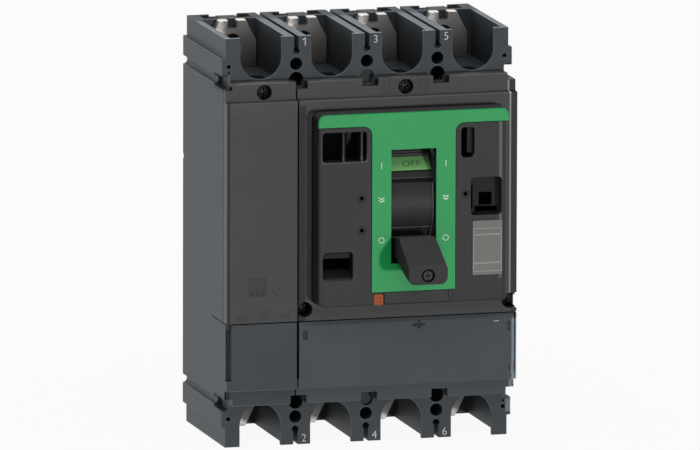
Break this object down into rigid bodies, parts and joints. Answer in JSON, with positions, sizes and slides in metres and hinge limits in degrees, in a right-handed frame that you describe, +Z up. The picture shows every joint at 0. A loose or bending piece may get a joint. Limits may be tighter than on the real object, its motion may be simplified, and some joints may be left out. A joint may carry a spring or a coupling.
{
  "type": "molded case breaker",
  "caption": "Moulded-case breaker without trip unit: deep insulated case, bolted terminals in open pockets, smoked covers and a toggle handle that turns a double-break contact bar.",
  "frame": {"origin": "middle of the flat rear face", "axes": "+X right, +Y out of the rear face, +Z up along the poles; the handle points to -Y"},
  "size_m": [0.185, 0.1574, 0.255],
  "materials": {
    "case_plastic": "satin moulded",
    "smoked_plastic": "smoked translucent, lightly textured",
    "charcoal_plastic": "fine matt grain",
    "green_plastic": "satin",
    "orange_plastic": "satin",
    "label": "bare printed plate",
    "tinned_copper": "tin plated",
    "copper": "machined copper",
    "steel": "zinc plated",
    "rotor_plastic": "moulded"
  },
  "bodies": {
    "case": {"case": "case_plastic", "rear_plate": "case_plastic", "neutral_lower_block": "case_plastic", "lower_front_block": "case_plastic", "neutral_cover": "smoked_plastic", "main_cover": "smoked_plastic", "escutcheon": "charcoal_plastic", "id_strip": "charcoal_plastic", "green_fascia": "green_plastic", "label_plate": "label", "upper_terminal_n": "tinned_copper", "upper_terminal_1": "tinned_copper", "upper_terminal_3": "tinned_copper", "upper_terminal_5": "tinned_copper", "lower_terminal_n": "tinned_copper", "lower_terminal_2": "tinned_copper", "lower_terminal_4": "tinned_copper", "lower_terminal_6": "tinned_copper", "cover_screw_1": "steel", "cover_screw_2": "steel", "cover_screw_3": "steel", "cover_screw_4": "steel", "mechanism_plate_left": "steel", "mechanism_plate_right": "steel", "pivot_pin": "steel", "button_spring": "steel", "arc_chute_upper_n": "steel", "arc_chute_upper_1": "steel", "arc_chute_upper_3": "steel", "arc_chute_upper_5": "steel", "arc_chute_lower_n": "steel", "arc_chute_lower_2": "steel", "arc_chute_lower_4": "steel", "arc_chute_lower_6": "steel"},
    "handle": {"handle": "charcoal_plastic", "handle_end_plug": "charcoal_plastic", "handle_shield": "charcoal_plastic", "off_flag": "green_plastic", "on_flag": "green_plastic", "handle_yoke": "steel", "toggle_pin": "steel", "mainspring_left": "steel", "mainspring_right": "steel"},
    "drive_links": {"drive_link_left": "steel", "drive_link_right": "steel"},
    "contact_bar": {"drive_rod_upper": "steel", "drive_rod_lower": "steel", "rotor_n": "rotor_plastic", "rotor_1": "rotor_plastic", "rotor_3": "rotor_plastic", "rotor_5": "rotor_plastic", "contact_arm_n": "copper", "contact_arm_1": "copper", "contact_arm_3": "copper", "contact_arm_5": "copper"},
    "push_button": {"push_button": "orange_plastic"}
  },
  "joints": [
    {"name": "handle_hinge", "type": "hinge", "parent": "case", "child": "handle", "pos_m": [0.0225, -0.0827, 0.0233], "axis": [-1, 0, 0], "range_deg": [0, 54]},
    {"name": "drive_link_hinge", "type": "hinge", "parent": "handle", "child": "drive_links", "pos_m": [0.0225, -0.0826, 0.0338], "axis": [-1, 0, 0], "range_deg": [-54, 0]},
    {"name": "contact_bar_hinge", "type": "hinge", "parent": "case", "child": "contact_bar", "pos_m": [0, -0.038, 0], "axis": [-1, 0, 0], "range_deg": [0, 54]},
    {"name": "push_button_slide", "type": "slide", "parent": "case", "child": "push_button", "axis": [0, 1, 0], "range_m": [0, 0.0025], "stiffness_N_per_m": 300, "deforming": ["button_spring"]}
  ],
  "couplings": [
    {"joint": "drive_link_hinge", "follows": "handle_hinge", "ratio": -1},
    {"joint": "contact_bar_hinge", "follows": "handle_hinge", "ratio": 1}
  ]
}
